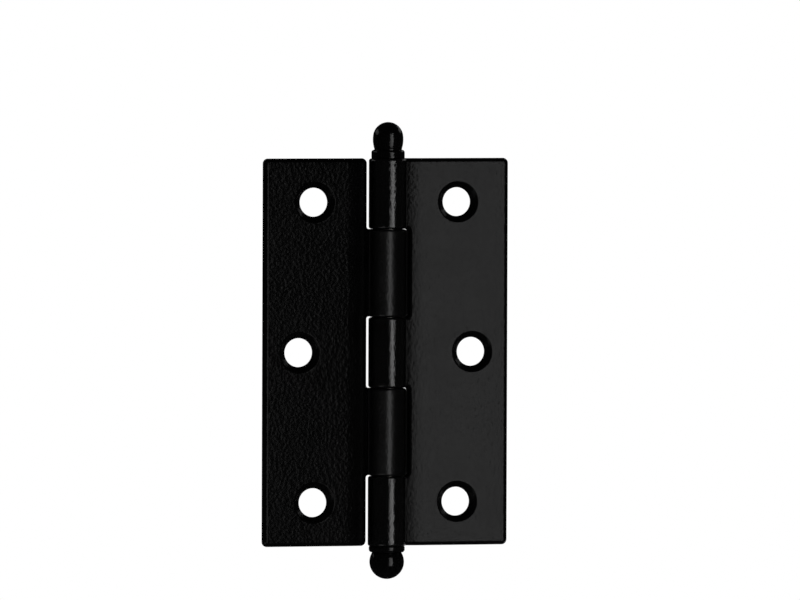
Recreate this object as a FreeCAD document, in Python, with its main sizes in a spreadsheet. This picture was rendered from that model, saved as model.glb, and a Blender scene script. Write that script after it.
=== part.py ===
"""Ball-tipped butt hinge, 76 x 50 mm, lying open flat.

The pin's axis is Z and runs through the origin, halfway up the barrel.  The countersunk faces look
towards -Y.  The frame leaf reaches to +X and the door leaf to -X.  Lengths are in millimetres.
"""

import FreeCAD
import Part
import Sketcher
import math
import os

SIZES = {
    # leaves
    "leaf_height": 76.2,
    "leaf_reach": 25.0,
    "sheet_thickness": 1.5,
    "face_setback": 0.8,
    "swage_radius": 19.5,
    "corner_radius": 1.0,
    "front_rounding": 0.95,
    "back_rounding": 0.5,
    # barrel
    "bore_radius": 2.25,
    "seam_rise": 1.05,
    "door_knuckle": 17.2,
    "knuckle_gap": 0.1,
    # spaces cut in one leaf for the other leaf's knuckles
    "frame_notch_edge": 4.5,
    "frame_notch_corner": 0.75,
    "door_notch_edge": 3.8,
    "door_notch_corner": 0.5,
    "notch_overrun": 6.0,
    # screw holes
    "hole_diameter": 5.7,
    "sink_diameter": 8.0,
    "sink_angle": 90.0,
    "sink_rim_rounding": 0.45,
    "outer_hole_reach": 14.6,
    "outer_hole_height": 29.5,
    "middle_hole_reach": 17.6,
    # pin
    "pin_radius": 2.2,
    "pin_end_chamfer": 0.5,
    "pin_collar_radius": 3.27,
    "pin_collar_height": 1.7,
    "collar_rounding": 0.55,
    "collar_foot_rounding": 0.2,
    # studs and their tapped holes
    "stud_radius": 1.2,
    "stud_length": 4.0,
    "stud_hole_radius": 1.25,
    "stud_hole_depth": 4.5,
    # upper tip
    "upper_tip_foot": 2.7,
    "upper_tip_radius": 3.0,
    "upper_tip_waist": 2.05,
    "upper_side_radius": 6.0,
    "upper_crown_radius": 2.97,
    # plug and tip under the barrel
    "plug_length": 6.0,
    "plug_collar_radius": 3.53,
    "plug_collar_height": 1.2,
    "pin_end_gap": 0.5,
    "lower_tip_radius": 3.4,
    "lower_tip_foot": 2.85,
}

SHEET = "Sizes"
TOLERANCE = 1e-4
START = 1
END = 2
CENTRE = 3
ORIGIN = (-1, 1)


class Size:
    """A number together with the sheet formula that gives it."""

    def __init__(self, value, formula):
        self.value = value
        self.formula = formula

    def _joined(self, other, sign, value):
        formula = "(%s %s %s)" % (self.formula, sign, size(other).formula)
        return Size(value, formula)

    def __add__(self, other):
        return self._joined(other, "+", self.value + size(other).value)

    def __sub__(self, other):
        return self._joined(other, "-", self.value - size(other).value)

    def __mul__(self, other):
        return self._joined(other, "*", self.value * size(other).value)

    def __truediv__(self, other):
        return self._joined(other, "/", self.value / size(other).value)

    def __neg__(self):
        return Size(-self.value, "(-%s)" % self.formula)

    def root(self):
        return Size(math.sqrt(self.value), "sqrt(%s)" % self.formula)


def size(given):
    """Give a driving dimension by name, or a plain number as a Size."""
    if isinstance(given, Size):
        return given
    if isinstance(given, str):
        return Size(SIZES[given], "%s.%s" % (SHEET, given))
    return Size(float(given), repr(float(given)))


def make_sheet(doc):
    """Write the driving dimensions, one a row, each with its alias."""
    sheet = doc.addObject("Spreadsheet::Sheet", SHEET)
    for row, (name, value) in enumerate(SIZES.items(), 1):
        sheet.set("A%d" % row, name.replace("_", " "))
        sheet.set("B%d" % row, repr(value))
        sheet.setAlias("B%d" % row, name)
    doc.recompute()
    return sheet


def bind(obj, name, amount):
    """Drive one property of an object from the sheet."""
    obj.setExpression(name, size(amount).formula)


def origin_plane(body, role):
    return next(plane for plane in body.Origin.OriginFeatures if plane.Role == role)


def new_body(doc, label):
    body = doc.addObject("PartDesign::Body", label)
    body.Label = label
    return body


def new_sketch(body, name, role):
    sketch = body.newObject("Sketcher::SketchObject", name)
    sketch.AttachmentSupport = [(origin_plane(body, role), "")]
    sketch.MapMode = "FlatFace"
    return sketch


def point(x, y):
    return FreeCAD.Vector(size(x).value, size(y).value, 0)


def line(sketch, start, end):
    return sketch.addGeometry(Part.LineSegment(point(*start), point(*end)), False)


def arc(sketch, centre, radius, start, end):
    """Add an arc that runs anticlockwise from one angle in degrees to the other."""
    circle = Part.Circle(point(*centre), FreeCAD.Vector(0, 0, 1), size(radius).value)
    whole = Part.ArcOfCircle(circle, math.radians(start), math.radians(end))
    return sketch.addGeometry(whole, False)


def constrain(sketch, kind, *places):
    sketch.addConstraint(Sketcher.Constraint(kind, *places))


def dimension(sketch, name, kind, places, amount):
    """Add a dimension and drive it from the sheet, turned round where it would be negative."""
    amount = size(amount)
    if amount.value < 0:
        places = places[2:] + places[:2]
        amount = -amount
    number = sketch.addConstraint(Sketcher.Constraint(kind, *places, amount.value))
    sketch.renameConstraint(number, name)
    bind(sketch, "Constraints." + name, amount)


def place(sketch, name, where, x, y):
    """Fix a point of a sketch at its distances from the origin."""
    for kind, axis, amount in (("DistanceX", "_x", x), ("DistanceY", "_y", y)):
        if amount is None:
            continue
        if size(amount).value == 0:
            on_axis = -2 if kind == "DistanceX" else -1
            constrain(sketch, "PointOnObject", *where, on_axis)
        else:
            dimension(sketch, name + axis, kind, ORIGIN + where, amount)


def settle(sketch):
    """Solve a finished sketch and refuse one that is not fixed in every way."""
    sketch.Document.recompute()
    if sketch.solve() != 0 or not sketch.FullyConstrained:
        raise RuntimeError("sketch %s is not fully fixed" % sketch.Name)


# ---------------------------------------------------------------- leaves


def knuckle_ends():
    """Give the heights at which the middle knuckle ends and at which the top knuckle begins."""
    gaps = size("knuckle_gap") * 4
    frame_knuckle = (size("leaf_height") - size("door_knuckle") * 2 - gaps) / 3
    middle_end = frame_knuckle / 2
    top_start = size("leaf_height") / 2 - frame_knuckle
    return middle_end, top_start


def strip_outline(sketch):
    """Draw the bent strip seen from its end: plate, swage, and the roll round the pin."""
    reach = size("leaf_reach")
    front = size("face_setback")
    thickness = size("sheet_thickness")
    back = front + thickness
    bore = size("bore_radius")
    barrel = bore + thickness
    swage = size("swage_radius")
    swage_y = front + swage
    swage_x = ((swage + bore) * (swage + bore) - swage_y * swage_y).root()

    lean = math.degrees(math.atan2(swage_y.value, swage_x.value))
    seam = math.degrees(math.asin(SIZES["seam_rise"] / barrel.value))
    seam_cos = math.cos(math.radians(seam))
    seam_sin = math.sin(math.radians(seam))
    inner_corner = (bore.value * seam_cos, bore.value * seam_sin)
    outer_corner = (barrel.value * seam_cos, barrel.value * seam_sin)

    face = line(sketch, (reach, front), (swage_x, front))
    face_swage = arc(sketch, (swage_x, swage_y), swage, 180 + lean, 270)
    roll_inside = arc(sketch, (0, 0), bore, lean, 360 + seam)
    roll_end = line(sketch, inner_corner, outer_corner)
    roll_outside = arc(sketch, (0, 0), barrel, lean, 360 + seam)
    back_swage = arc(sketch, (swage_x, swage_y), swage - thickness, 180 + lean, 270)
    back_face = line(sketch, (swage_x, back), (reach, back))
    edge = line(sketch, (reach, back), (reach, front))

    constrain(sketch, "Coincident", roll_inside, CENTRE, *ORIGIN)
    constrain(sketch, "Coincident", roll_outside, CENTRE, *ORIGIN)
    constrain(sketch, "Coincident", back_swage, CENTRE, face_swage, CENTRE)
    constrain(sketch, "Tangent", face, END, face_swage, END)
    constrain(sketch, "Tangent", face_swage, START, roll_inside, START)
    constrain(sketch, "Coincident", roll_inside, END, roll_end, START)
    constrain(sketch, "Coincident", roll_end, END, roll_outside, END)
    constrain(sketch, "Tangent", roll_outside, START, back_swage, START)
    constrain(sketch, "Tangent", back_swage, END, back_face, START)
    constrain(sketch, "Coincident", back_face, END, edge, START)
    constrain(sketch, "Coincident", edge, END, face, START)
    constrain(sketch, "Horizontal", face)
    constrain(sketch, "Horizontal", back_face)
    constrain(sketch, "Vertical", edge)
    constrain(sketch, "PointOnObject", *ORIGIN, roll_end)
    dimension(sketch, "bore", "Radius", (roll_inside,), bore)
    dimension(sketch, "swage", "Radius", (face_swage,), swage)
    dimension(sketch, "thickness", "DistanceY", (edge, END, edge, START), thickness)
    place(sketch, "face", (face, START), reach, front)
    place(sketch, "seam", (roll_outside, END), None, "seam_rise")
    settle(sketch)


def notch_outline(sketch, name, edge_at, corner, low, high):
    """Draw one space for the other leaf's knuckle, with round corners on the plate's side."""
    far = -size("notch_overrun")
    turn = edge_at - corner
    bottom = line(sketch, (far, low), (turn, low))
    low_corner = arc(sketch, (turn, low + corner), corner, -90, 0)
    side = line(sketch, (edge_at, low + corner), (edge_at, high - corner))
    high_corner = arc(sketch, (turn, high - corner), corner, 0, 90)
    top = line(sketch, (turn, high), (far, high))
    back = line(sketch, (far, high), (far, low))

    constrain(sketch, "Tangent", bottom, END, low_corner, START)
    constrain(sketch, "Tangent", low_corner, END, side, START)
    constrain(sketch, "Tangent", side, END, high_corner, START)
    constrain(sketch, "Tangent", high_corner, END, top, START)
    constrain(sketch, "Coincident", top, END, back, START)
    constrain(sketch, "Coincident", back, END, bottom, START)
    constrain(sketch, "Horizontal", bottom)
    constrain(sketch, "Vertical", side)
    constrain(sketch, "Horizontal", top)
    constrain(sketch, "Vertical", back)
    constrain(sketch, "Equal", low_corner, high_corner)
    dimension(sketch, name + "_corner", "Radius", (low_corner,), corner)
    place(sketch, name + "_edge", (side, START), edge_at, None)
    place(sketch, name + "_low", (bottom, START), far, low)
    place(sketch, name + "_high", (top, END), None, high)


def kind_of_face(face):
    """Say whether a face of a bent strip is its front skin, back skin, roll end or cut side."""
    thickness = SIZES["sheet_thickness"]
    bore = SIZES["bore_radius"]
    swage = SIZES["swage_radius"]
    surface = face.Surface
    if isinstance(surface, Part.Cylinder) and abs(surface.Axis.z) > 0.5:
        inner = min(abs(surface.Radius - bore), abs(surface.Radius - swage)) < TOLERANCE
        return "front" if inner else "back"
    if isinstance(surface, Part.Plane) and abs(surface.Axis.y) > 1 - TOLERANCE:
        at_front = abs(surface.Position.y - SIZES["face_setback"]) < thickness / 2
        return "front" if at_front else "back"
    if isinstance(surface, Part.Plane) and max(abs(surface.Axis.x), abs(surface.Axis.z)) < 1 - TOLERANCE:
        return "roll end"
    return "side"


def edges_between(shape, kind, other_kind):
    """Name the edges where faces of two kinds meet."""
    names = []
    for number, edge in enumerate(shape.Edges, 1):
        kinds = sorted(kind_of_face(face) for face in shape.ancestorsOfType(edge, Part.Face))
        if kinds == sorted([kind, other_kind]):
            names.append("Edge%d" % number)
    return names


def corner_edges(shape, reaches, height):
    """Name the edges through the sheet at its corners in plan."""
    names = []
    for number, edge in enumerate(shape.Edges, 1):
        box = edge.BoundBox
        if box.XLength > TOLERANCE or box.ZLength > TOLERANCE:
            continue
        at_reach = any(abs(box.XMin - reach) < TOLERANCE for reach in reaches)
        if at_reach and abs(abs(box.ZMin) - height) < TOLERANCE:
            names.append("Edge%d" % number)
    return names


def round_edges(body, name, edges, radius):
    """Round the named edges of the body's last feature."""
    if not edges:
        raise RuntimeError("no edges found for %s" % name)
    base = body.Tip
    fillet = body.newObject("PartDesign::Fillet", name)
    fillet.Base = (base, edges)
    bind(fillet, "Radius", radius)
    body.Document.recompute()
    return fillet


def cut_notches(body, edge_at, corner, spans):
    """Cut the spaces for the other leaf's knuckles straight through the roll."""
    for number, (low, high) in enumerate(spans, 1):
        sketch = new_sketch(body, "%s_notch_%d" % (body.Label, number), "XZ_Plane")
        notch_outline(sketch, "notch", edge_at, corner, low, high)
        settle(sketch)
        before = body.Shape.Volume
        pocket = body.newObject("PartDesign::Pocket", "%s_pocket_%d" % (body.Label, number))
        pocket.Profile = sketch
        pocket.SideType = "Symmetric"
        bind(pocket, "Length", size("notch_overrun") * 2)
        body.Document.recompute()
        if body.Shape.Volume >= before:
            raise RuntimeError("notch %d of %s cuts nothing" % (number, body.Label))


def drill_screw_holes(body):
    """Sink the three countersunk holes from the front face."""
    sketch = new_sketch(body, body.Label + "_hole_centres", "XZ_Plane")
    bind(sketch, "AttachmentOffset.Base.z", -size("face_setback"))
    centres = (
        ("top", size("outer_hole_reach"), size("outer_hole_height")),
        ("middle", size("middle_hole_reach"), size(0)),
        ("bottom", size("outer_hole_reach"), -size("outer_hole_height")),
    )
    radius = size("hole_diameter") / 2
    up = FreeCAD.Vector(0, 0, 1)
    for name, x, y in centres:
        circle = sketch.addGeometry(Part.Circle(point(x, y), up, radius.value), False)
        dimension(sketch, name + "_radius", "Radius", (circle,), radius)
        place(sketch, name, (circle, CENTRE), x, y)
    settle(sketch)
    before = body.Shape.Volume
    hole = body.newObject("PartDesign::Hole", body.Label + "_screw_holes")
    hole.Profile = sketch
    hole.DepthType = "ThroughAll"
    bind(hole, "Diameter", "hole_diameter")
    hole.HoleCutType = "Countersink"
    hole.HoleCutCustomValues = True
    bind(hole, "HoleCutDiameter", "sink_diameter")
    bind(hole, "HoleCutCountersinkAngle", "sink_angle")
    body.Document.recompute()
    if body.Shape.Volume >= before:
        raise RuntimeError("the screw holes of %s cut nothing" % body.Label)


def sink_rims(shape):
    """Name the circles where the countersinks meet the front face."""
    names = []
    for number, edge in enumerate(shape.Edges, 1):
        box = edge.BoundBox
        at_front = box.YLength < TOLERANCE and abs(box.YMin - SIZES["face_setback"]) < TOLERANCE
        if at_front and abs(edge.Length - math.pi * SIZES["sink_diameter"]) < TOLERANCE:
            names.append("Edge%d" % number)
    return names


def make_leaf(doc, label, edge_at, corner, spans, corner_reaches):
    """Bend one leaf from its strip, cut its notches, round its edges and sink its holes."""
    body = new_body(doc, label)
    outline = new_sketch(body, label + "_outline", "XY_Plane")
    strip_outline(outline)
    strip = body.newObject("PartDesign::Pad", label + "_strip")
    strip.Profile = outline
    strip.SideType = "Symmetric"
    bind(strip, "Length", "leaf_height")
    doc.recompute()

    cut_notches(body, size(edge_at), size(corner), spans)
    corners = corner_edges(body.Shape, corner_reaches, SIZES["leaf_height"] / 2)
    round_edges(body, label + "_corners", corners, "corner_radius")
    front_edges = edges_between(body.Shape, "front", "side")
    round_edges(body, label + "_front_edges", front_edges, "front_rounding")
    back_edges = edges_between(body.Shape, "back", "side")
    round_edges(body, label + "_back_edges", back_edges, "back_rounding")
    drill_screw_holes(body)
    round_edges(body, label + "_sink_rims", sink_rims(body.Shape), "sink_rim_rounding")
    return body


def make_frame_leaf(doc):
    """Make the leaf with the top, middle and bottom knuckles."""
    middle_end, top_start = knuckle_ends()
    spans = ((middle_end, top_start), (-top_start, -middle_end))
    reaches = (SIZES["leaf_reach"],)
    return make_leaf(doc, "frame_leaf", "frame_notch_edge", "frame_notch_corner", spans, reaches)


def make_door_leaf(doc):
    """Make the leaf with the two long knuckles, turned round to the other side of the pin."""
    middle_end, top_start = knuckle_ends()
    gap = size("knuckle_gap")
    past_end = size("leaf_height") / 2 + size("door_notch_corner") * 2
    spans = (
        (top_start - gap, past_end),
        (-(middle_end + gap), middle_end + gap),
        (-past_end, -(top_start - gap)),
    )
    reaches = (SIZES["leaf_reach"], SIZES["door_notch_edge"])
    body = make_leaf(doc, "door_leaf", "door_notch_edge", "door_notch_corner", spans, reaches)
    half_turn = FreeCAD.Rotation(FreeCAD.Vector(0, 1, 0), 180)
    body.Placement = FreeCAD.Placement(FreeCAD.Vector(0, 0, 0), half_turn)
    return body


# ---------------------------------------------------------------- turned pieces


def turned_outline(sketch, corners, start_height_fixed=True):
    """Draw straight runs through the corners, each a radius and a height, without closing them."""
    runs = []
    for number in range(len(corners) - 1):
        start = corners[number]
        end = corners[number + 1]
        run = line(sketch, start, end)
        if runs:
            constrain(sketch, "Coincident", runs[-1], END, run, START)
        height = start[1] if number or start_height_fixed else None
        place(sketch, "corner_%d" % number, (run, START), start[0], height)
        runs.append(run)
    return runs


def closed_outline(sketch, corners):
    """Draw a closed outline of straight runs."""
    runs = turned_outline(sketch, corners)
    last = line(sketch, corners[-1], corners[0])
    constrain(sketch, "Coincident", runs[-1], END, last, START)
    constrain(sketch, "Coincident", last, END, runs[0], START)
    place(sketch, "corner_last", (last, START), *corners[-1])
    settle(sketch)


def revolve(body, sketch):
    turned = body.newObject("PartDesign::Revolution", body.Label + "_turned")
    turned.Profile = sketch
    turned.ReferenceAxis = (sketch, ["V_Axis"])
    turned.Angle = 360
    body.Document.recompute()
    return turned


def circle_edges(shape, radius, height):
    """Name the level circles of one radius at one height."""
    names = []
    for number, edge in enumerate(shape.Edges, 1):
        box = edge.BoundBox
        at_height = box.ZLength < TOLERANCE and abs(box.ZMin - height) < TOLERANCE
        if at_height and abs(edge.Length - 2 * math.pi * radius) < TOLERANCE:
            names.append("Edge%d" % number)
    return names


def make_hinge_pin(doc):
    """Turn the rod, its collar that stands on the top knuckle, and the tapped hole in its top."""
    body = new_body(doc, "hinge_pin")
    sketch = new_sketch(body, "hinge_pin_outline", "XZ_Plane")
    half = size("leaf_height") / 2
    end = -half + size("plug_length") + size("pin_end_gap")
    top = half + size("pin_collar_height")
    radius = size("pin_radius")
    chamfer = size("pin_end_chamfer")
    collar = size("pin_collar_radius")
    floor = top - size("stud_hole_depth")
    corners = (
        (size(0), end),
        (radius - chamfer, end),
        (radius, end + chamfer),
        (radius, half),
        (collar, half),
        (collar, top),
        (size("stud_hole_radius"), top),
        (size("stud_hole_radius"), floor),
        (size(0), floor),
    )
    closed_outline(sketch, corners)
    revolve(body, sketch)
    rim = circle_edges(body.Shape, collar.value, top.value)
    round_edges(body, "hinge_pin_collar", rim, "collar_rounding")
    foot = circle_edges(body.Shape, collar.value, half.value)
    round_edges(body, "hinge_pin_collar_foot", foot, "collar_foot_rounding")
    return body


def make_lower_tip_plug(doc):
    """Turn the plug pressed into the bottom knuckle, with its collar and tapped hole."""
    body = new_body(doc, "lower_tip_plug")
    sketch = new_sketch(body, "lower_tip_plug_outline", "XZ_Plane")
    seat = -(size("leaf_height") / 2)
    bottom = seat - size("plug_collar_height")
    stem_top = seat + size("plug_length")
    collar = size("plug_collar_radius")
    ceiling = bottom + size("stud_hole_depth")
    corners = (
        (size("stud_hole_radius"), bottom),
        (collar, bottom),
        (collar, seat),
        (size("bore_radius"), seat),
        (size("bore_radius"), stem_top),
        (size(0), stem_top),
        (size(0), ceiling),
        (size("stud_hole_radius"), ceiling),
    )
    closed_outline(sketch, corners)
    revolve(body, sketch)
    rim = circle_edges(body.Shape, collar.value, bottom.value)
    round_edges(body, "lower_tip_plug_collar", rim, size("plug_collar_height") / 2)
    foot = circle_edges(body.Shape, collar.value, seat.value)
    round_edges(body, "lower_tip_plug_collar_foot", foot, "collar_foot_rounding")
    return body


def make_upper_ball_tip(doc):
    """Turn the egg-shaped tip from two arcs that meet in a tangent, and its stud."""
    body = new_body(doc, "upper_ball_tip")
    sketch = new_sketch(body, "upper_ball_tip_outline", "XZ_Plane")
    seat = size("leaf_height") / 2 + size("pin_collar_height")
    widest = seat + size("upper_tip_waist")
    side = size("upper_side_radius")
    crown = size("upper_crown_radius")
    side_x = size("upper_tip_radius") - side
    lift = ((side - crown) * (side - crown) - side_x * side_x).root()
    meet = math.degrees(math.atan2(lift.value, -side_x.value))
    foot_y = -math.sqrt(side.value**2 - (SIZES["upper_tip_foot"] - side_x.value) ** 2)
    foot_angle = math.degrees(math.atan2(foot_y, SIZES["upper_tip_foot"] - side_x.value))
    stud = size("stud_radius")
    stud_end = seat - size("stud_length")

    side_arc = arc(sketch, (side_x, widest), side, foot_angle, meet)
    crown_arc = arc(sketch, (0, widest + lift), crown, meet, 90)
    foot = (size("upper_tip_foot"), widest + foot_y)
    top = (size(0), widest + lift + crown)
    corners = (top, (size(0), stud_end), (stud, stud_end), (stud, seat), (size("upper_tip_foot"), seat))
    runs = turned_outline(sketch, corners, start_height_fixed=False)
    neck = line(sketch, corners[-1], foot)
    constrain(sketch, "Coincident", runs[-1], END, neck, START)
    place(sketch, "foot", (neck, START), *corners[-1])
    constrain(sketch, "Vertical", neck)
    constrain(sketch, "Coincident", neck, END, side_arc, START)
    constrain(sketch, "Tangent", side_arc, END, crown_arc, START)
    constrain(sketch, "Coincident", crown_arc, END, runs[0], START)
    constrain(sketch, "PointOnObject", crown_arc, CENTRE, -2)
    dimension(sketch, "side", "Radius", (side_arc,), side)
    dimension(sketch, "crown", "Radius", (crown_arc,), crown)
    place(sketch, "side_centre", (side_arc, CENTRE), side_x, widest)
    settle(sketch)
    revolve(body, sketch)
    return body


def make_lower_ball_tip(doc):
    """Turn the round tip that hangs under the plug, and its stud."""
    body = new_body(doc, "lower_ball_tip")
    sketch = new_sketch(body, "lower_ball_tip_outline", "XZ_Plane")
    seat = -(size("leaf_height") / 2 + size("plug_collar_height"))
    ball = size("lower_tip_radius")
    foot = size("lower_tip_foot")
    drop = (ball * ball - foot * foot).root()
    centre = seat - drop
    stud = size("stud_radius")
    stud_end = seat + size("stud_length")
    foot_angle = math.degrees(math.atan2(drop.value, foot.value))

    ball_arc = arc(sketch, (0, centre), ball, -90, foot_angle)
    corners = ((foot, seat), (stud, seat), (stud, stud_end), (size(0), stud_end))
    runs = turned_outline(sketch, corners)
    spine = line(sketch, corners[-1], (0, centre - ball))
    constrain(sketch, "Coincident", runs[-1], END, spine, START)
    place(sketch, "stud_end", (spine, START), *corners[-1])
    constrain(sketch, "Coincident", spine, END, ball_arc, START)
    constrain(sketch, "Coincident", ball_arc, END, runs[0], START)
    constrain(sketch, "PointOnObject", ball_arc, CENTRE, -2)
    constrain(sketch, "Vertical", spine)
    dimension(sketch, "ball", "Radius", (ball_arc,), ball)
    settle(sketch)
    revolve(body, sketch)
    return body


# ---------------------------------------------------------------- checks and files


def check_document(doc, pieces):
    """Refuse a document with a failed object or a piece without one sound solid."""
    for obj in doc.Objects:
        if "Invalid" in obj.State or "Error" in obj.State:
            raise RuntimeError("%s failed: %s" % (obj.Label, obj.State))
    for piece in pieces:
        shape = piece.Shape
        if shape.isNull() or not shape.isValid() or len(shape.Solids) != 1:
            raise RuntimeError("%s is not one sound solid" % piece.Label)


def main():
    doc = FreeCAD.newDocument("ball_tipped_hinge")
    make_sheet(doc)
    makers = (
        make_frame_leaf,
        make_door_leaf,
        make_hinge_pin,
        make_upper_ball_tip,
        make_lower_tip_plug,
        make_lower_ball_tip,
    )
    pieces = [maker(doc) for maker in makers]
    doc.recompute()
    check_document(doc, pieces)
    os.makedirs("parts", exist_ok=True)
    for piece in pieces:
        piece.Shape.exportStep("parts/%s.step" % piece.Label)
        box = piece.Shape.BoundBox
        print("%-16s volume %9.2f  z %7.2f to %7.2f" % (piece.Label, piece.Shape.Volume, box.ZMin, box.ZMax))


main()
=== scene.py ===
"""Black ball-tipped butt hinge: the coatings of its pieces, and a plain studio round it.

Lengths are in metres.  The pin's axis is Z, the countersunk faces look towards -Y, and the hinge
hangs a little above a pale floor, because a screwed-on hinge stands on nothing.
"""

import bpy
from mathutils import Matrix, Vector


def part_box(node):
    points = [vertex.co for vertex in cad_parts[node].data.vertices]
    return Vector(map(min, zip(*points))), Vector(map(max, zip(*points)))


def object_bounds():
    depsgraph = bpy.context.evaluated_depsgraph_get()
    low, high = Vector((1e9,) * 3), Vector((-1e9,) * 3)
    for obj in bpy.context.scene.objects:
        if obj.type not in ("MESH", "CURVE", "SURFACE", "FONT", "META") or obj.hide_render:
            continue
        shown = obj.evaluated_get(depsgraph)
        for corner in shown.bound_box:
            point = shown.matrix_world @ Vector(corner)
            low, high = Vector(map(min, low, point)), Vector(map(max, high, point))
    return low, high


bl_info = {
    "name": "Ball-tipped hinge finishes",
    "version": (1, 0, 0),
    "blender": (4, 5, 0),
    "location": "View3D > Sidebar > Hinge",
    "description": "Coats the pieces of a butt hinge and sets up a plain studio",
    "category": "Object",
}

import math

import bpy
from bpy.props import FloatProperty, FloatVectorProperty, PointerProperty
from mathutils import Euler, Matrix, Vector

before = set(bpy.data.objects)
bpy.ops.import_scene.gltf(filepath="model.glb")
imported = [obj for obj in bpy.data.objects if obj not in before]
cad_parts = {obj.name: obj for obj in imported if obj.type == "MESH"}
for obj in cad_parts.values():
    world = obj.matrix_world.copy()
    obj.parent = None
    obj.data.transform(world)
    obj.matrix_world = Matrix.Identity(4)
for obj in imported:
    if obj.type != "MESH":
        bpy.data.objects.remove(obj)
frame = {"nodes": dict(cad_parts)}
CAD_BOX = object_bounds()

MM = 0.001
FULL_TURN = 2 * math.pi
LIGHT_DISTANCE = 1.5
# Distances from the pin's axis where the knuckles' coat ends and the plate's coat begins.
KNUCKLE_EDGE = (3.8 * MM, 4.3 * MM)

TIPS = ("upper_ball_tip", "lower_ball_tip")
PIN = "hinge_pin"
PLUG = "lower_tip_plug"
FRAME_SIDE = ("frame_leaf", PIN, PLUG) + TIPS
DOOR_SIDE = ("door_leaf",)
LEAVES = ("frame_leaf", "door_leaf")

# Soft lights: name, azimuth and elevation and angle across in degrees, height in metres,
# brightness as seen from the hinge, and the pieces it lights.
SOFTBOXES = (
    ("frame_panel", 12.5, 0.0, 20.0, 1.5, 1.15, FRAME_SIDE),
    ("frame_strip", 21.0, 0.0, 3.0, 1.5, 2.0, FRAME_SIDE),
    ("door_panel", -0.5, 0.0, 17.0, 1.5, 0.9, DOOR_SIDE),
    ("low_left", -48.0, -27.0, 30.0, 0.45, 0.6, LEAVES),
    ("low_back", 135.0, -16.0, 30.0, 0.45, 0.6, LEAVES),
    ("back_left", 235.0, 25.0, 40.0, 0.4, 0.4, FRAME_SIDE + DOOR_SIDE),
    ("back_right", 120.0, 25.0, 40.0, 0.4, 0.4, FRAME_SIDE + DOOR_SIDE),
    ("floor_light", 0.0, 90.0, 60.0, 0.8, 8.0, ("floor",)),
)


# ---------------------------------------------------------------- settings


class HINGE_PG_coat(bpy.types.PropertyGroup):
    """Colour and texture of the black coatings and of the bare rod"""

    leaf_colour: FloatVectorProperty(
        name="Leaf colour",
        description="Colour of the powder coat on both leaves",
        subtype="COLOR",
        size=3,
        min=0.0,
        max=1.0,
        default=(0.0015, 0.0015, 0.0016),
    )
    tip_colour: FloatVectorProperty(
        name="Tip colour",
        description="Colour of the smoother coat on the tips, the pin's collar and the plug",
        subtype="COLOR",
        size=3,
        min=0.0,
        max=1.0,
        default=(0.0012, 0.0012, 0.0013),
    )
    rod_colour: FloatVectorProperty(
        name="Rod colour",
        description="Colour of the bare steel rod inside the barrel",
        subtype="COLOR",
        size=3,
        min=0.0,
        max=1.0,
        default=(0.40, 0.39, 0.37),
    )
    plate_specular: FloatProperty(
        name="Plate specular",
        description="Strength of the mirror-like part of the coat on the flat of the leaves",
        subtype="FACTOR",
        min=0.0,
        max=1.0,
        default=0.25,
    )
    knuckle_specular: FloatProperty(
        name="Knuckle specular",
        description="Strength of the mirror-like part of the coat on the rubbed knuckles",
        subtype="FACTOR",
        min=0.0,
        max=1.0,
        default=1.0,
    )
    frame_plate_roughness: FloatProperty(
        name="Frame plate roughness",
        description="Roughness of the powder coat on the flat of the frame leaf",
        subtype="FACTOR",
        min=0.0,
        max=1.0,
        default=0.2,
    )
    frame_knuckle_roughness: FloatProperty(
        name="Frame knuckle roughness",
        description="Roughness of the powder coat on the frame leaf's knuckles",
        subtype="FACTOR",
        min=0.0,
        max=1.0,
        default=0.08,
    )
    door_plate_roughness: FloatProperty(
        name="Door plate roughness",
        description="Roughness of the powder coat on the flat of the door leaf",
        subtype="FACTOR",
        min=0.0,
        max=1.0,
        default=0.15,
    )
    door_knuckle_roughness: FloatProperty(
        name="Door knuckle roughness",
        description="Roughness of the powder coat on the door leaf's knuckles",
        subtype="FACTOR",
        min=0.0,
        max=1.0,
        default=0.3,
    )
    tip_roughness: FloatProperty(
        name="Tip roughness",
        description="Roughness of the coat on the turned pieces",
        subtype="FACTOR",
        min=0.0,
        max=1.0,
        default=0.14,
    )
    peel_size: FloatProperty(
        name="Peel size",
        description="Width of one dimple of the powder coat's orange peel",
        unit="LENGTH",
        min=0.00005,
        max=0.01,
        default=0.6 * MM,
    )
    peel_depth: FloatProperty(
        name="Peel depth",
        description="Depth of the orange peel's dimples",
        unit="LENGTH",
        min=0.0,
        max=0.001,
        default=0.055 * MM,
    )


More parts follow.
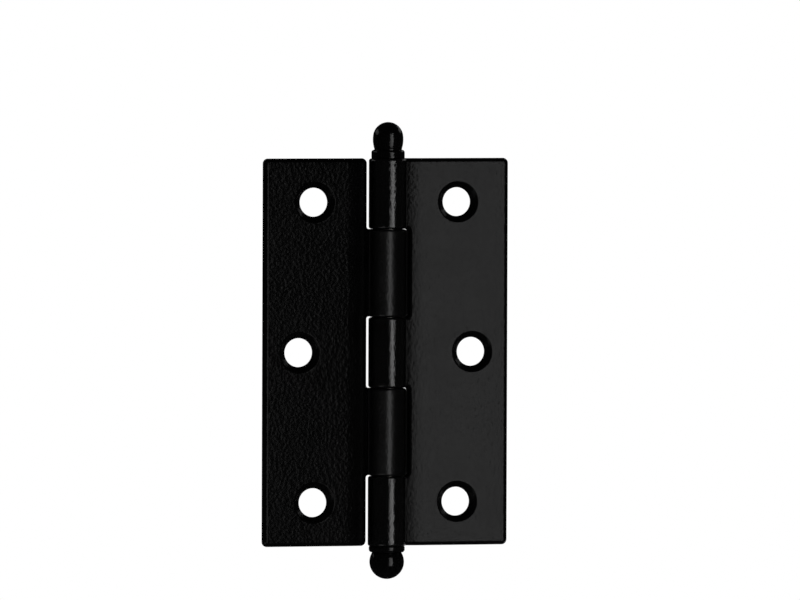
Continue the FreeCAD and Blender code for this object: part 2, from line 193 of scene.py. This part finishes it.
class HINGE_PG_stage(bpy.types.PropertyGroup):
    """Camera, lights and floor"""

    view_azimuth: FloatProperty(
        name="View azimuth",
        description="Direction that the camera looks from, turned about Z from the front",
        subtype="ANGLE",
        default=math.radians(-16.0),
    )
    view_elevation: FloatProperty(
        name="View elevation",
        description="How far above the level the camera looks from",
        subtype="ANGLE",
        default=math.radians(2.0),
    )
    view_roll: FloatProperty(
        name="View roll",
        description="Turn of the camera about its own line of sight",
        subtype="ANGLE",
        default=math.radians(0.2),
    )
    view_distance: FloatProperty(
        name="View distance",
        description="Distance from the camera to the hinge",
        unit="LENGTH",
        min=0.1,
        default=2.5,
    )
    view_width: FloatProperty(
        name="View width",
        description="Width of what the camera sees at the hinge",
        unit="LENGTH",
        min=0.01,
        default=157.1 * MM,
    )
    aim_right: FloatProperty(
        name="Aim right",
        description="How far to the right of the pin's middle the camera aims",
        unit="LENGTH",
        default=2.44 * MM,
    )
    aim_up: FloatProperty(
        name="Aim up",
        description="How far above the pin's middle the camera aims",
        unit="LENGTH",
        default=10.3 * MM,
    )
    floor_drop: FloatProperty(
        name="Floor drop",
        description="Gap between the lower tip and the floor",
        unit="LENGTH",
        min=0.0,
        default=15 * MM,
    )
    floor_reach: FloatProperty(
        name="Floor reach",
        description="Distance from the hinge to the edge of the floor",
        unit="LENGTH",
        min=0.05,
        default=0.15,
    )
    floor_colour: FloatVectorProperty(
        name="Floor colour",
        description="Colour of the pale floor",
        subtype="COLOR",
        size=3,
        min=0.0,
        max=1.0,
        default=(0.86, 0.86, 0.86),
    )


# ---------------------------------------------------------------- shader tools


def add_node(tree, kind, **values):
    """Add a node and set its attributes."""
    node = tree.nodes.new(kind)
    for name, value in values.items():
        setattr(node, name, value)
    return node


def feed(tree, node, sockets):
    """Give a node's inputs, by name, either a value or the output that drives them."""
    for name, given in sockets.items():
        if isinstance(given, bpy.types.NodeSocket):
            tree.links.new(given, node.inputs[name])
        else:
            node.inputs[name].default_value = given


def math_node(tree, operation, first, second=None):
    """Add one step of arithmetic and give its result."""
    node = add_node(tree, "ShaderNodeMath", operation=operation)
    for number, given in enumerate((first, second)):
        if given is None:
            continue
        if isinstance(given, bpy.types.NodeSocket):
            tree.links.new(given, node.inputs[number])
        else:
            node.inputs[number].default_value = given
    return node.outputs[0]


def remap(tree, value, low, high, to_low, to_high):
    """Carry a value from one range to another, held inside its ends."""
    node = add_node(tree, "ShaderNodeMapRange")
    sockets = {"Value": value, "From Min": low, "From Max": high, "To Min": to_low, "To Max": to_high}
    feed(tree, node, sockets)
    return node.outputs["Result"]


def noise(tree, vector, scale, detail=2.0, roughness=0.5):
    """Add a noise pattern and give its value."""
    node = add_node(tree, "ShaderNodeTexNoise")
    feed(tree, node, {"Vector": vector, "Scale": scale, "Detail": detail, "Roughness": roughness})
    return node.outputs["Fac"]


def new_group(name, inputs, outputs):
    """Make an empty shader node group with named inputs and outputs."""
    tree = bpy.data.node_groups.new(name, "ShaderNodeTree")
    for socket, kind, default in inputs:
        made = tree.interface.new_socket(name=socket, in_out="INPUT", socket_type=kind)
        if default is not None:
            made.default_value = default
    for socket, kind in outputs:
        tree.interface.new_socket(name=socket, in_out="OUTPUT", socket_type=kind)
    return tree, add_node(tree, "NodeGroupInput"), add_node(tree, "NodeGroupOutput")


def orange_peel_group():
    """Soft dimples of a sprayed coat, with finer grit on them: a height and a shade mask."""
    tree, start, end = new_group(
        "orange_peel",
        (
            ("Vector", "NodeSocketVector", None),
            ("Dimple Size", "NodeSocketFloat", 0.5 * MM),
            ("Grit", "NodeSocketFloat", 0.3),
        ),
        (("Height", "NodeSocketFloat"), ("Shade", "NodeSocketFloat")),
    )
    scale = math_node(tree, "DIVIDE", 1.0, start.outputs["Dimple Size"])
    fine_scale = math_node(tree, "MULTIPLY", scale, 3.7)
    broad_scale = math_node(tree, "MULTIPLY", scale, 0.09)
    dimples = noise(tree, start.outputs["Vector"], scale, 1.0, 0.4)
    grit = noise(tree, start.outputs["Vector"], fine_scale, 2.0, 0.6)
    cloud = noise(tree, start.outputs["Vector"], broad_scale, 2.0, 0.5)
    grit_part = math_node(tree, "MULTIPLY", grit, start.outputs["Grit"])
    height = math_node(tree, "ADD", dimples, grit_part)
    tree.links.new(height, end.inputs["Height"])
    tree.links.new(remap(tree, cloud, 0.35, 0.65, 0.0, 1.0), end.inputs["Shade"])
    return tree


def group_node(tree, group, sockets):
    """Add a node group and feed its inputs."""
    node = add_node(tree, "ShaderNodeGroup", node_tree=group)
    feed(tree, node, sockets)
    return node


def new_material(name):
    """Make a material with only a Principled BSDF and its output."""
    material = bpy.data.materials.new(name)
    material.use_nodes = True
    tree = material.node_tree
    tree.nodes.clear()
    shader = add_node(tree, "ShaderNodeBsdfPrincipled")
    output = add_node(tree, "ShaderNodeOutputMaterial")
    tree.links.new(shader.outputs["BSDF"], output.inputs["Surface"])
    return material, tree, shader


def object_coordinates(tree):
    """Give a point's place in its own piece, which moves with the piece."""
    return add_node(tree, "ShaderNodeTexCoord").outputs["Object"]


def shaded_colour(tree, colour, shade, spread):
    """Vary a colour a little by a mask."""
    mix = add_node(tree, "ShaderNodeMix", data_type="RGBA")
    darker = [part * (1 - spread) for part in colour] + [1.0]
    lighter = [part * (1 + spread) for part in colour] + [1.0]
    tree.links.new(shade, mix.inputs["Factor"])
    mix.inputs[6].default_value = darker
    mix.inputs[7].default_value = lighter
    return mix.outputs[2]


def bump(tree, height, distance):
    """Give a surface direction tilted by a height."""
    node = add_node(tree, "ShaderNodeBump")
    feed(tree, node, {"Height": height, "Distance": distance})
    return node.outputs["Normal"]


def distance_from_pin(tree, coordinates):
    """Give the distance of a point from the pin's axis."""
    parts = add_node(tree, "ShaderNodeSeparateXYZ")
    tree.links.new(coordinates, parts.inputs["Vector"])
    x_squared = math_node(tree, "MULTIPLY", parts.outputs["X"], parts.outputs["X"])
    y_squared = math_node(tree, "MULTIPLY", parts.outputs["Y"], parts.outputs["Y"])
    return math_node(tree, "SQRT", math_node(tree, "ADD", x_squared, y_squared))


def leaf_coat(settings, peel, name, plate_roughness, knuckle_roughness):
    """Black powder coat of a leaf, with one roughness on the plate and one on the knuckles."""
    material, tree, shader = new_material(name + "_powder_coat")
    where = object_coordinates(tree)
    sockets = {"Vector": where, "Dimple Size": settings.peel_size, "Grit": 0.35}
    texture = group_node(tree, peel, sockets)
    colour = shaded_colour(tree, settings.leaf_colour, texture.outputs["Shade"], 0.2)
    off_axis = distance_from_pin(tree, where)
    roughness = remap(tree, off_axis, *KNUCKLE_EDGE, knuckle_roughness, plate_roughness)
    strengths = (settings.knuckle_specular, settings.plate_specular)
    specular = remap(tree, off_axis, *KNUCKLE_EDGE, *strengths)
    uneven = remap(tree, texture.outputs["Shade"], 0.0, 1.0, -0.02, 0.02)
    tree.links.new(colour, shader.inputs["Base Color"])
    tree.links.new(math_node(tree, "ADD", roughness, uneven), shader.inputs["Roughness"])
    tree.links.new(specular, shader.inputs["Specular IOR Level"])
    normal = bump(tree, texture.outputs["Height"], settings.peel_depth)
    tree.links.new(normal, shader.inputs["Normal"])
    return material


def tip_coat(settings, peel, name):
    """Smoother black coat of the turned pieces."""
    material, tree, shader = new_material(name)
    sockets = {"Vector": object_coordinates(tree), "Dimple Size": settings.peel_size, "Grit": 0.2}
    texture = group_node(tree, peel, sockets)
    colour = shaded_colour(tree, settings.tip_colour, texture.outputs["Shade"], 0.2)
    low = settings.tip_roughness - 0.02
    roughness = remap(tree, texture.outputs["Shade"], 0.0, 1.0, low, low + 0.05)
    tree.links.new(colour, shader.inputs["Base Color"])
    tree.links.new(roughness, shader.inputs["Roughness"])
    normal = bump(tree, texture.outputs["Height"], settings.peel_depth * 0.5)
    tree.links.new(normal, shader.inputs["Normal"])
    return material


def pin_finish(settings, peel):
    """Black coat on the pin's collar, and bare turned steel on the rod under it."""
    material, tree, shader = new_material("pin_collar_coat_and_rod_steel")
    where = object_coordinates(tree)
    parts = add_node(tree, "ShaderNodeSeparateXYZ")
    tree.links.new(where, parts.inputs["Vector"])
    sockets = {"Vector": where, "Dimple Size": settings.peel_size, "Grit": 0.2}
    texture = group_node(tree, peel, sockets)
    leaf_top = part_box("frame_leaf")[1].z
    coated = math_node(tree, "GREATER_THAN", parts.outputs["Z"], leaf_top - 0.05 * MM)
    bare = math_node(tree, "SUBTRACT", 1.0, coated)

    rings = add_node(tree, "ShaderNodeMapping")
    feed(tree, rings, {"Vector": where, "Scale": (60.0, 60.0, 9000.0)})
    tooling = noise(tree, rings.outputs["Vector"], 1.0, 2.0, 0.6)
    steel = shaded_colour(tree, settings.rod_colour, tooling, 0.25)
    coat = shaded_colour(tree, settings.tip_colour, texture.outputs["Shade"], 0.2)
    colour = add_node(tree, "ShaderNodeMix", data_type="RGBA")
    tree.links.new(coated, colour.inputs["Factor"])
    tree.links.new(steel, colour.inputs[6])
    tree.links.new(coat, colour.inputs[7])

    rod_roughness = remap(tree, tooling, 0.3, 0.7, 0.22, 0.4)
    roughness = add_node(tree, "ShaderNodeMix", data_type="FLOAT")
    tree.links.new(coated, roughness.inputs["Factor"])
    tree.links.new(rod_roughness, roughness.inputs[2])
    roughness.inputs[3].default_value = settings.tip_roughness
    tree.links.new(colour.outputs[2], shader.inputs["Base Color"])
    tree.links.new(roughness.outputs[0], shader.inputs["Roughness"])
    tree.links.new(bare, shader.inputs["Metallic"])
    height = add_node(tree, "ShaderNodeMix", data_type="FLOAT")
    tree.links.new(coated, height.inputs["Factor"])
    tree.links.new(tooling, height.inputs[2])
    tree.links.new(texture.outputs["Height"], height.inputs[3])
    normal = bump(tree, height.outputs[0], settings.peel_depth * 0.5)
    tree.links.new(normal, shader.inputs["Normal"])
    return material


def finish_node(name, material):
    """Give a CAD node one material over all its faces."""
    for slot in frame["nodes"][name].material_slots:
        slot.material = material


# ---------------------------------------------------------------- operators


class HINGE_OT_coat_leaves(bpy.types.Operator):
    """Coat both leaves in satin black powder coat"""

    bl_idname = "hinge.coat_leaves"
    bl_label = "Coat the leaves"

    def execute(self, context):
        settings = context.scene.hinge_coat
        finishes = (
            ("frame_leaf", settings.frame_plate_roughness, settings.frame_knuckle_roughness),
            ("door_leaf", settings.door_plate_roughness, settings.door_knuckle_roughness),
        )
        for name, *roughness in finishes:
            finish_node(name, leaf_coat(settings, orange_peel(), name, *roughness))
        return {"FINISHED"}


class HINGE_OT_coat_tips(bpy.types.Operator):
    """Coat the two ball tips and the plug under the barrel"""

    bl_idname = "hinge.coat_tips"
    bl_label = "Coat the tips and the plug"

    def execute(self, context):
        settings = context.scene.hinge_coat
        material = tip_coat(settings, orange_peel(), "tip_coat_black")
        for name in TIPS + (PLUG,):
            finish_node(name, material)
        return {"FINISHED"}


class HINGE_OT_finish_pin(bpy.types.Operator):
    """Coat the pin's collar and leave its rod bare steel"""

    bl_idname = "hinge.finish_pin"
    bl_label = "Finish the pin"

    def execute(self, context):
        finish_node(PIN, pin_finish(context.scene.hinge_coat, orange_peel()))
        return {"FINISHED"}


def orange_peel():
    """Give the one orange peel group, made the first time it is wanted."""
    return bpy.data.node_groups.get("orange_peel") or orange_peel_group()


def direction(azimuth, elevation):
    """Give the unit vector towards an azimuth and an elevation, from the front of the hinge."""
    flat = math.cos(elevation)
    return Vector((math.sin(azimuth) * flat, -math.cos(azimuth) * flat, math.sin(elevation)))


def look_from(azimuth, elevation, distance, target, roll=0.0):
    """Give the placement of a camera or light that looks at a target from a direction."""
    towards = direction(azimuth, elevation)
    turn = Euler((math.pi / 2 - elevation, 0.0, azimuth), "XYZ").to_matrix().to_4x4()
    spin = Matrix.Rotation(roll, 4, "Z")
    return Matrix.Translation(target + towards * distance) @ turn @ spin


def add_camera(settings):
    """Add the camera, with a lens that sees the asked-for width at the hinge."""
    data = bpy.data.cameras.new("camera")
    data.lens = data.sensor_width * settings.view_distance / settings.view_width
    camera = bpy.data.objects.new("camera", data)
    bpy.context.scene.collection.objects.link(camera)
    right = Vector((math.cos(settings.view_azimuth), math.sin(settings.view_azimuth), 0.0))
    aim = right * settings.aim_right + Vector((0.0, 0.0, settings.aim_up))
    angles = (settings.view_azimuth, settings.view_elevation)
    camera.matrix_world = look_from(*angles, settings.view_distance, aim, settings.view_roll)
    bpy.context.scene.camera = camera


def add_softbox(name, azimuth, elevation, span, height, brightness, receivers):
    """Add a soft rectangular light that falls only on its receivers."""
    data = bpy.data.lights.new(name, "AREA")
    data.shape = "RECTANGLE"
    data.size = 2 * LIGHT_DISTANCE * math.tan(math.radians(span) / 2)
    data.size_y = height
    data.energy = brightness * math.pi * data.size * data.size_y
    light = bpy.data.objects.new(name, data)
    light.visible_camera = False
    bpy.context.scene.collection.objects.link(light)
    angles = (math.radians(azimuth), math.radians(elevation))
    light.matrix_world = look_from(*angles, LIGHT_DISTANCE, Vector((0.0, 0.0, 0.0)))
    lit = bpy.data.collections.new(name + "_lights")
    for thing in receivers:
        lit.objects.link(thing)
    light.light_linking.receiver_collection = lit


def add_world():
    """Make the surroundings white to look at and dim as a source of light."""
    world = bpy.data.worlds.new("studio")
    bpy.context.scene.world = world
    world.use_nodes = True
    tree = world.node_tree
    tree.nodes.clear()
    path = add_node(tree, "ShaderNodeLightPath")
    level = remap(tree, path.outputs["Is Camera Ray"], 0.0, 1.0, 0.012, 1.0)
    background = add_node(tree, "ShaderNodeBackground")
    background.inputs["Color"].default_value = (1.0, 1.0, 1.0, 1.0)
    output = add_node(tree, "ShaderNodeOutputWorld")
    tree.links.new(level, background.inputs["Strength"])
    tree.links.new(background.outputs["Background"], output.inputs["Surface"])


def floor_material(settings):
    """Pale matt floor with a faint unevenness."""
    material, tree, shader = new_material("pale_floor")
    cloud = noise(tree, object_coordinates(tree), 30.0)
    colour = shaded_colour(tree, settings.floor_colour, cloud, 0.015)
    tree.links.new(colour, shader.inputs["Base Color"])
    shader.inputs["Roughness"].default_value = 0.9
    shader.inputs["Specular IOR Level"].default_value = 0.1
    return material


def add_floor(settings):
    """Add a round pale floor under the lower tip, left out of reflections and shadows."""
    mesh = bpy.data.meshes.new("floor")
    level = CAD_BOX[0].z - settings.floor_drop
    corners = 96
    angles = [FULL_TURN * number / corners for number in range(corners)]
    reach = settings.floor_reach
    rim = [(reach * math.cos(angle), reach * math.sin(angle), level) for angle in angles]
    mesh.from_pydata(rim, [], [tuple(range(corners))])
    mesh.materials.append(floor_material(settings))
    floor = bpy.data.objects.new("floor", mesh)
    bpy.context.scene.collection.objects.link(floor)
    floor.visible_glossy = False
    floor.visible_shadow = False
    return floor


class HINGE_OT_stage(bpy.types.Operator):
    """Set up the camera, the soft lights and the pale floor"""

    bl_idname = "hinge.stage"
    bl_label = "Set up the stage"

    def execute(self, context):
        settings = context.scene.hinge_stage
        add_world()
        things = {"floor": add_floor(settings), **frame["nodes"]}
        add_camera(settings)
        for *setup, lit in SOFTBOXES:
            add_softbox(*setup, [things[name] for name in lit])
        context.scene.view_settings.view_transform = "Standard"
        return {"FINISHED"}


OPERATORS = (HINGE_OT_coat_leaves, HINGE_OT_coat_tips, HINGE_OT_finish_pin, HINGE_OT_stage)


class HINGE_PT_panel(bpy.types.Panel):
    """Lists the steps that finish the hinge"""

    bl_idname = "HINGE_PT_panel"
    bl_label = "Hinge"
    bl_space_type = "VIEW_3D"
    bl_region_type = "UI"
    bl_category = "Hinge"

    def draw(self, context):
        for operator in OPERATORS:
            self.layout.operator(operator.bl_idname)


CLASSES = (HINGE_PG_coat, HINGE_PG_stage) + OPERATORS + (HINGE_PT_panel,)


def register():
    for cls in CLASSES:
        bpy.utils.register_class(cls)
    bpy.types.Scene.hinge_coat = PointerProperty(type=HINGE_PG_coat)
    bpy.types.Scene.hinge_stage = PointerProperty(type=HINGE_PG_stage)


def unregister():
    del bpy.types.Scene.hinge_stage
    del bpy.types.Scene.hinge_coat
    for cls in reversed(CLASSES):
        bpy.utils.unregister_class(cls)


def main():
    register()
    bpy.ops.hinge.coat_leaves()
    bpy.ops.hinge.coat_tips()
    bpy.ops.hinge.finish_pin()
    bpy.ops.hinge.stage()


if __name__ == "__main__":
    main()
